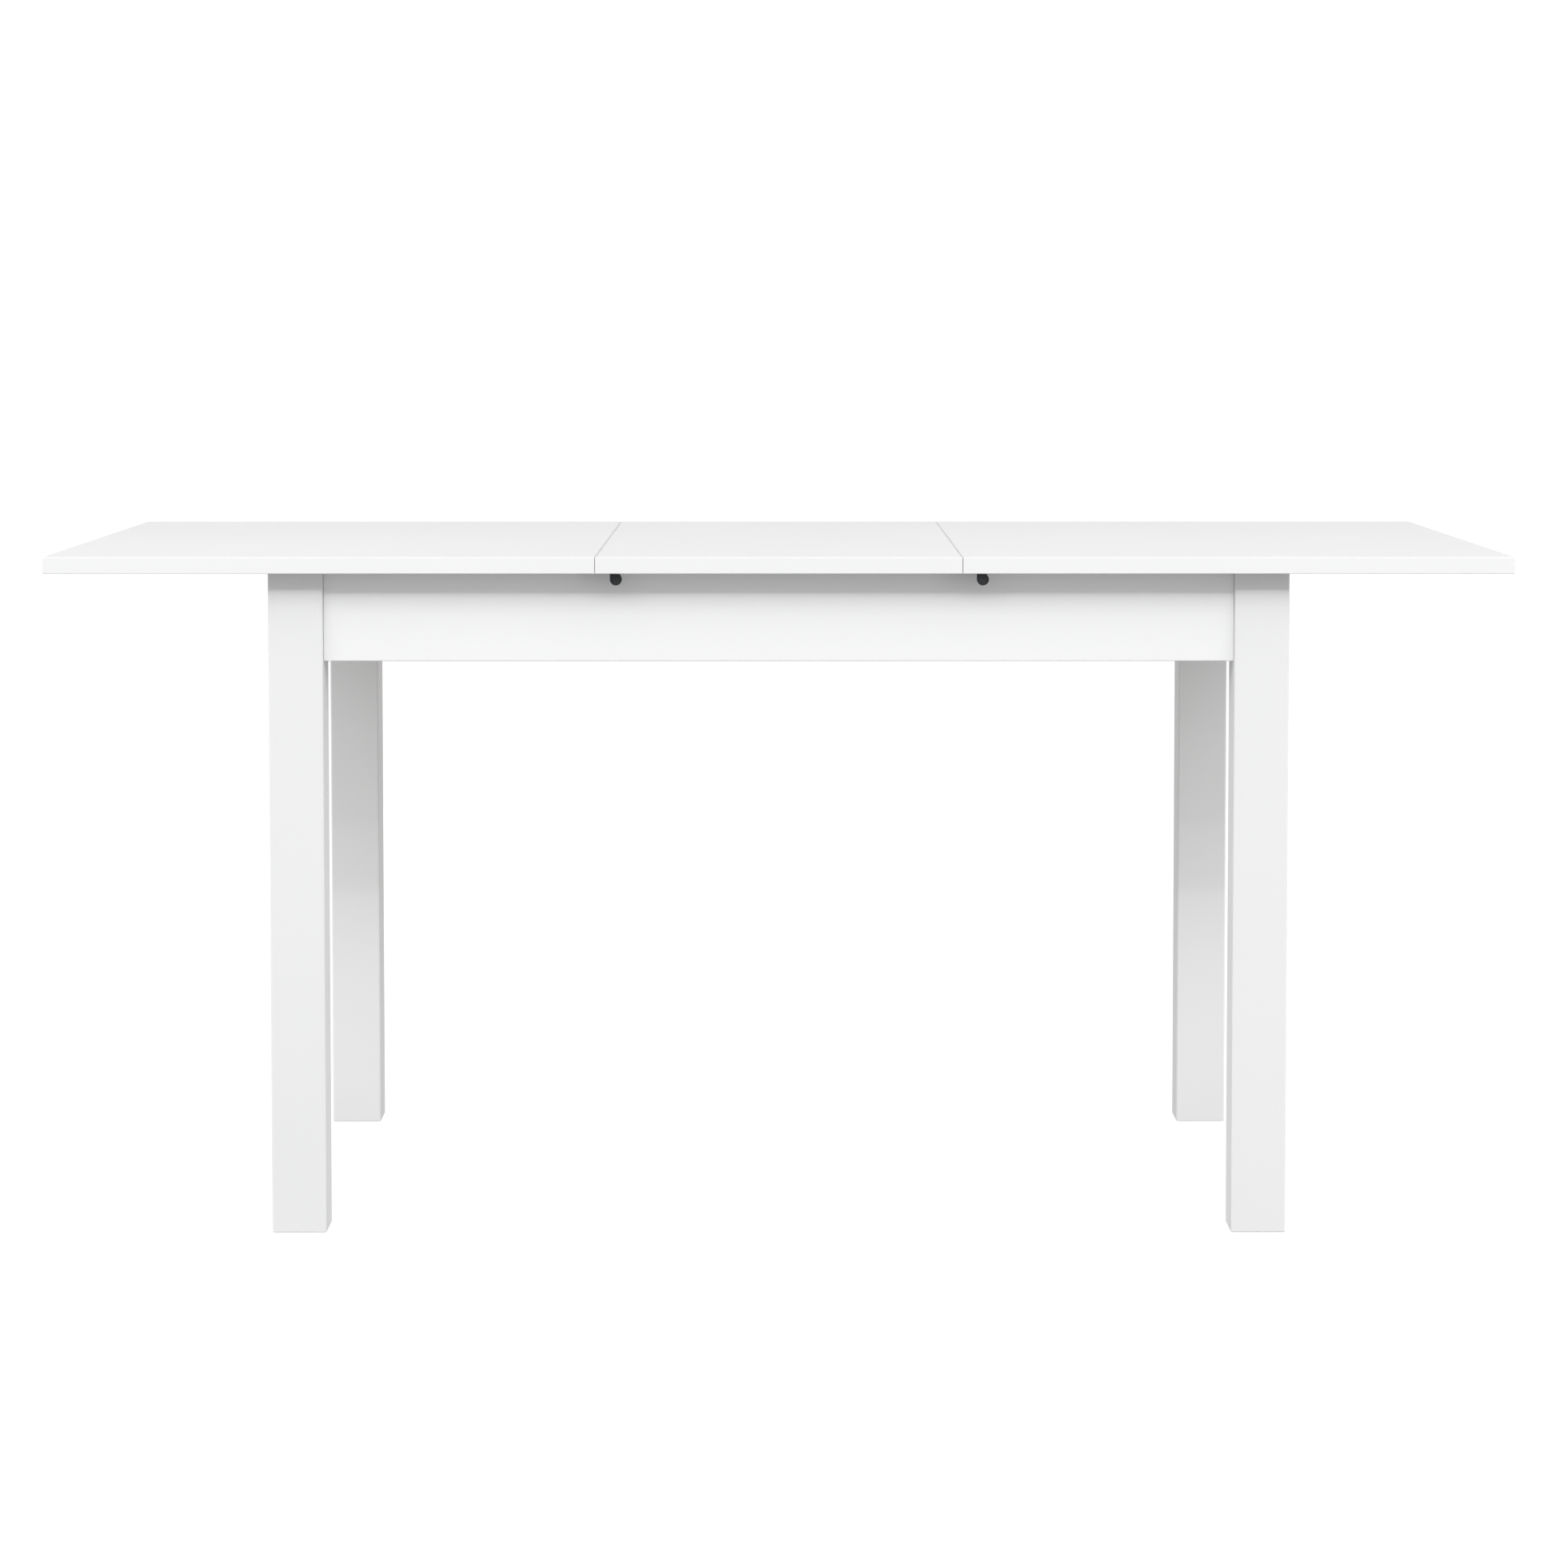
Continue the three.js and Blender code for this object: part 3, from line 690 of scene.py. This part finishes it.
def lever_outline():
    """The lever's flat outline in (u, v): hub, hook with its slot, and the arm as far as its bend."""
    width = HOOK_HALF_WIDTH
    arm_low, arm_high = LEVER_ARM_SPAN
    middle = (SLOT_INNER + SLOT_OUTER) / 2
    seat = (SLOT_OUTER - SLOT_INNER) / 2
    mouth_in = math.asin(-width / SLOT_INNER)
    mouth_out = math.asin(-width / SLOT_OUTER)
    tip = HOOK_REACH - HOOK_CORNER
    arm_end = LUG_REACH - LUG_BEND
    hub_low = math.asin(-width / LEVER_HUB_RADIUS)
    hub_arm = math.acos(arm_low / LEVER_HUB_RADIUS)
    fillet = (arm_high + LEVER_FILLET, width + LEVER_FILLET)
    outline = arc((0, 0), SLOT_INNER, mouth_in, 0, LEVER_STEPS)
    outline += arc((middle, 0), seat, math.pi, 0, SLOT_STEPS)[1:-1]
    outline += arc((0, 0), SLOT_OUTER, 0, mouth_out, LEVER_STEPS)
    outline += arc((tip, -width + HOOK_CORNER), HOOK_CORNER, -math.pi / 2, 0, LEVER_STEPS)
    outline += arc((tip, width - HOOK_CORNER), HOOK_CORNER, 0, math.pi / 2, LEVER_STEPS)
    outline += arc(fillet, LEVER_FILLET, -math.pi / 2, -math.pi, LEVER_STEPS)
    outline += [(arm_high, arm_end), (arm_low, arm_end)]
    outline += arc((0, 0), LEVER_HUB_RADIUS, hub_arm, 2 * math.pi + hub_low, HUB_STEPS)
    return outline


def bent_strip(top, bottom):
    """The side view of the bent end in (v, z): the arm's plate turning down into the lug."""
    centre = (LUG_REACH - LUG_BEND, top - LUG_BEND)
    outer = arc(centre, LUG_BEND, math.pi / 2, 0)
    inner = arc(centre, LUG_BEND - LEVER_THICKNESS, 0, math.pi / 2)
    return outer + [(LUG_REACH, bottom), (LUG_REACH - LEVER_THICKNESS, bottom)] + inner


def knob_outline(bottom, top):
    """The knob's face in (x, z): straight on the left, leaning in on the right, round below."""
    middle = bottom + KNOB_RADIUS
    outline = [(-KNOB_RADIUS, top)]
    outline += arc((0, middle), KNOB_RADIUS, math.pi, 2 * math.pi + KNOB_NECK_ANGLE, KNOB_STEPS)
    neck_x, neck_z = outline[-1]
    outline.append((neck_x - (top - neck_z) * math.tan(KNOB_NECK_ANGLE), top))
    return outline


def make_lever(name, y_side):
    """The sheet steel lever of one latch: a punched plate and its bent-down end."""
    node = f"{name}_latch_lever"
    low, high = box_of(node)
    pivot = centre_of(f"{name}_latch_pin")
    body = f"{name}_latch"

    def on_plate(u, v, level):
        return (pivot.x - u, pivot.y + y_side * v, level)

    def on_side(v, z, u):
        return (pivot.x - u, pivot.y + y_side * v, z)

    plate = prism(lever_outline(), high.z - LEVER_THICKNESS, high.z, on_plate, LEVER_ARRIS)
    lever = finish_piece(f"{node}_plate", plate, ZINC, body)
    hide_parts(node)
    bend = prism(bent_strip(high.z, low.z), *LEVER_ARM_SPAN, on_side, LEVER_ARRIS)
    finish_piece(f"{node}_bent_end", bend, ZINC, body)


def make_knob(name, y_side):
    """The moulded knob on the lever's end, with a rim round a shallow dish."""
    node = f"{name}_latch_knob"
    low, high = box_of(node)
    pivot = centre_of(f"{name}_latch_pin")
    front, back = (low.y, high.y) if y_side < 0 else (high.y, low.y)

    def on_face(x, z, level):
        return (pivot.x + x, level, z)

    bm = prism(knob_outline(low.z, high.z), back, front, on_face, KNOB_ARRIS, segments=4)
    face = max(bm.faces, key=lambda f: (round(y_side * f.calc_center_median().y, 5), f.calc_area()))
    bmesh.ops.inset_individual(bm, faces=[face], thickness=KNOB_RIM)
    bmesh.ops.inset_individual(bm, faces=[face], thickness=KNOB_DISH_WALL)
    for vert in face.verts:
        vert.co.y -= y_side * KNOB_DISH
    sort_mesh(bm)
    knob = finish_piece(f"{node}_moulded", bm, DARK_PLASTIC, f"{name}_latch")
    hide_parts(node)


def make_stud(name, kind, body):
    """A turned steel stud in the board: its shank and head as one profile with rounded edges."""
    node = f"{name}_latch_{kind}"
    low, high = box_of(node)
    centre = centre_of(node)
    radius = (high.x - low.x) / 2
    rings = [
        circle(centre, radius * STUD_DIMPLE_FLOOR, low.z + STUD_DIMPLE_DEPTH),
        circle(centre, radius * STUD_DIMPLE_RIM, low.z),
    ]
    for inset, rise in quarter_profile(STUD_ARRIS):
        rings.append(circle(centre, radius - inset, low.z + rise))
    if kind == "pin":
        rings.append(circle(centre, radius, low.z + PIN_HEAD_HEIGHT))
        rings.append(circle(centre, PIN_SHANK_RADIUS, low.z + PIN_HEAD_HEIGHT))
        rings.append(circle(centre, PIN_SHANK_RADIUS, high.z))
    else:
        rings.append(circle(centre, radius, high.z))
    bm = bmesh.new()
    loft(bm, rings)
    stud = finish_piece(f"{node}_turned", bm, ZINC, body)
    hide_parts(node)


def make_latches():
    """The four latches. At the left seam they hang from the leaf and hold the left half.

    At the right seam they hang from the right half and hold the leaf.
    """
    for row, y_side in ROWS:
        for column, carrier, held in (("left", "leaf", "left_half"), ("right", "right_half", "leaf")):
            name = f"{row}_{column}"
            make_lever(name, y_side)
            make_knob(name, y_side)
            make_stud(name, "pin", carrier)
            make_stud(name, "strike", held)


# ---------------------------------------------------------------- screws


def screw_head(bm, centre, normal):
    """A pan head with a cross recess, its seat at centre and its top along normal."""
    turn = Vector((0, 0, 1)).rotation_difference(normal).to_matrix().to_4x4()
    place = Matrix.Translation(centre) @ turn

    def point(side, share, rise):
        angle = 2 * math.pi * side / SCREW_SIDES
        radius = SCREW_RADIUS * share
        height = SCREW_HEAD_HEIGHT * rise
        return place @ Vector((radius * math.cos(angle), radius * math.sin(angle), height))

    rings = [[point(i, share, rise) for i in range(SCREW_SIDES)] for share, rise in SCREW_PROFILE]
    recess = [RECESS_CORE if i % SIDES_PER_WING else RECESS_WING for i in range(SCREW_SIDES)]
    rings.append([point(i, share, rise) for i, (share, rise) in enumerate(recess)])
    loft(bm, rings)


def make_screws(name, body, seats):
    """One piece holding the screw heads of one body. seats are (centre, normal) pairs."""
    bm = bmesh.new()
    for centre, normal in seats:
        screw_head(bm, Vector(centre), Vector(normal))
    finish_piece(name, bm, ZINC, body)


def runner_seats(node):
    """Screws up through a runner into its half top, where the runner lies under it."""
    low, high = box_of(node)
    top_node = "left_top" if "left" in node else "right_top"
    top_low, top_high = box_of(top_node)
    start = max(low.x, top_low.x) + RUNNER_SCREW_START
    end = min(high.x, top_high.x) - RUNNER_SCREW_END
    step = (end - start) / (RUNNER_SCREWS - 1)
    middle = (low.y + high.y) / 2
    return [((start + step * i, middle, low.z), (0, 0, -1)) for i in range(RUNNER_SCREWS)]


def bracket_seats():
    """Screws through the corner brackets' flanges into the aprons."""
    seats = []
    for row, y_side in ROWS:
        for column, x_side in COLUMNS:
            low, high = box_of(f"{row}_{column}_corner_bracket")
            x_far, x_near = (high.x, low.x) if x_side < 0 else (low.x, high.x)
            y_far, y_near = (high.y, low.y) if y_side < 0 else (low.y, high.y)
            x_seat = x_near - x_side * BRACKET_THICKNESS
            y_seat = y_near - y_side * BRACKET_THICKNESS
            x_row = x_far + x_side * BRACKET_SCREW_INSET
            y_row = y_far + y_side * BRACKET_SCREW_INSET
            middle = (low.z + high.z) / 2
            for level in (middle - PAIR_HALF_PITCH, middle + PAIR_HALF_PITCH):
                seats.append(((x_row, y_seat, level), (0, -y_side, 0)))
                seats.append(((x_seat, y_row, level), (-x_side, 0, 0)))
    return seats


def bearer_seats():
    """Screws up through the bearers into the rails."""
    seats = []
    for column, _ in COLUMNS:
        bearer = f"{column}_cross_bearer"
        level = box_of(bearer)[0].z
        for row, _ in ROWS:
            y = centre_of(f"{row}_rail").y
            for offset in (-PAIR_HALF_PITCH, PAIR_HALF_PITCH):
                seats.append(((centre_of(bearer).x + offset, y, level), (0, 0, -1)))
    return seats


def make_all_screws():
    """The screw heads: one piece for each half top and one for the frame."""
    left = runner_seats("front_left_runner") + runner_seats("rear_left_runner")
    right = runner_seats("front_right_runner") + runner_seats("rear_right_runner")
    make_screws("left_half_screws", "left_half", left)
    make_screws("right_half_screws", "right_half", right)
    make_screws("frame_screws", "frame", bracket_seats() + bearer_seats())


# ---------------------------------------------------------------- CAD nodes that stay


def cad_node_material(node):
    """The material of a CAD node. The nodes that other pieces replace are hidden, whichever they get."""
    if node.endswith("_hanger_bolt"):
        return THREAD
    if node.endswith(("_corner_bracket", "_wing_nut")):
        return ZINC
    if node.endswith("_rail"):
        return BEECH_ALONG_X
    if node.endswith("_glide"):
        return GLIDE_PLASTIC
    return DARK_PLASTIC


def finish_cad_nodes():
    """Gives every CAD node its material."""
    for name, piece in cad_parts.items():
        piece.data.materials.clear()
        piece.data.materials.append(cad_node_material(name))


# ---------------------------------------------------------------- stage, light and camera


def make_floor():
    """A pale floor that the studio's white fades into."""
    bm = bmesh.new()
    bmesh.ops.create_grid(bm, x_segments=1, y_segments=1, size=FLOOR_HALF_SIZE)
    mesh = bpy.data.meshes.new("floor")
    bm.to_mesh(mesh)
    bm.free()
    floor = bpy.data.objects.new("floor", mesh)
    bpy.context.scene.collection.objects.link(floor)
    material, bounce = new_material("pale_floor")
    mesh.materials.append(material)
    bounce.inputs["Base Color"].default_value = (*FLOOR_BOUNCE, 1)
    bounce.inputs["Roughness"].default_value = 0.9
    bounce.inputs["Specular IOR Level"].default_value = 0.1
    shade = add_node(material, "ShaderNodeBsdfDiffuse")
    shade.inputs["Color"].default_value = (*FLOOR_SHADE, 1)
    fill = add_node(material, "ShaderNodeEmission", Strength=FLOOR_BOUNCE_GLOW)
    lighting = add_node(material, "ShaderNodeAddShader")
    link(material, bounce.outputs["BSDF"], lighting.inputs[0])
    link(material, fill.outputs["Emission"], lighting.inputs[1])
    glow = add_node(material, "ShaderNodeEmission", Strength=FLOOR_GLOW)
    seen = add_node(material, "ShaderNodeAddShader")
    link(material, shade.outputs["BSDF"], seen.inputs[0])
    link(material, glow.outputs["Emission"], seen.inputs[1])
    path = add_node(material, "ShaderNodeLightPath")
    mix = add_node(material, "ShaderNodeMixShader")
    link(material, path.outputs["Is Camera Ray"], mix.inputs["Fac"])
    link(material, lighting.outputs["Shader"], mix.inputs[1])
    link(material, seen.outputs["Shader"], mix.inputs[2])
    output = material.node_tree.nodes["Material Output"]
    link(material, mix.outputs["Shader"], output.inputs["Surface"])


def make_world():
    """White all round: one strength for what it lights, another for what the camera sees."""
    world = bpy.data.worlds.new("studio")
    bpy.context.scene.world = world
    world.use_nodes = True
    tree = world.node_tree
    background = tree.nodes["Background"]
    background.inputs["Color"].default_value = (1, 1, 1, 1)
    path = tree.nodes.new("ShaderNodeLightPath")
    strength = tree.nodes.new("ShaderNodeMapRange")
    strength.inputs["To Min"].default_value = DOME_LIGHT
    strength.inputs["To Max"].default_value = DOME_SEEN
    tree.links.new(path.outputs["Is Camera Ray"], strength.inputs["Value"])
    tree.links.new(strength.outputs["Result"], background.inputs["Strength"])


def make_area_light(name, location, target, size, radiance):
    """A rectangular softbox aimed at a point. Its power is its radiance times pi times its area.

    It is hidden from the camera and from gloss, where only the dome shows.
    """
    data = bpy.data.lights.new(name, "AREA")
    data.shape = "RECTANGLE"
    data.size, data.size_y = size
    data.energy = radiance * math.pi * size[0] * size[1]
    light = bpy.data.objects.new(name, data)
    light.location = location
    light.rotation_mode = "QUATERNION"
    light.rotation_quaternion = (Vector(target) - Vector(location)).to_track_quat("-Z", "Y")
    light.visible_camera = False
    light.visible_glossy = False
    bpy.context.scene.collection.objects.link(light)


def seen_from(edge, turn, elevation, distance):
    """The point that an edge sees at a turn from straight ahead and an elevation, both in degrees.

    distance is measured along the floor.
    """
    turn = math.radians(turn)
    ahead = Vector((math.sin(turn), -math.cos(turn), math.tan(math.radians(elevation))))
    return edge + ahead * distance


def make_lights():
    """The softboxes, all aimed at the top's front edge, and the fill on the floor."""
    low, high = CAD_BOX
    edge = Vector((0, low[1], high[2]))
    for name, turn, elevation, distance, size, radiance in SOFTBOXES:
        place = seen_from(edge, turn, elevation, distance)
        make_area_light(name, place, edge, size, radiance)
    above = Vector(FLOOR_FILL_PLACE) + Vector((0, 0, 1))
    make_area_light("floor_fill", FLOOR_FILL_PLACE, above, FLOOR_FILL_SIZE, FLOOR_FILL_RADIANCE)


def make_camera():
    """The long, slightly raised view of the table's front."""
    data = bpy.data.cameras.new("camera")
    data.sensor_width = SENSOR_WIDTH_MM
    data.lens = LENS_MM
    data.shift_y = CAMERA_SHIFT_Y
    camera = bpy.data.objects.new("camera", data)
    camera.location = CAMERA_PLACE
    camera.rotation_euler = (math.radians(90 - CAMERA_PITCH_DOWN), 0, math.radians(CAMERA_YAW))
    bpy.context.scene.collection.objects.link(camera)
    bpy.context.scene.camera = camera


make_camera()
make_top()
make_frame()
make_slides()
make_latches()
make_all_screws()
finish_cad_nodes()
make_floor()
make_world()
make_lights()
bpy.context.scene.view_settings.view_transform = "Standard"
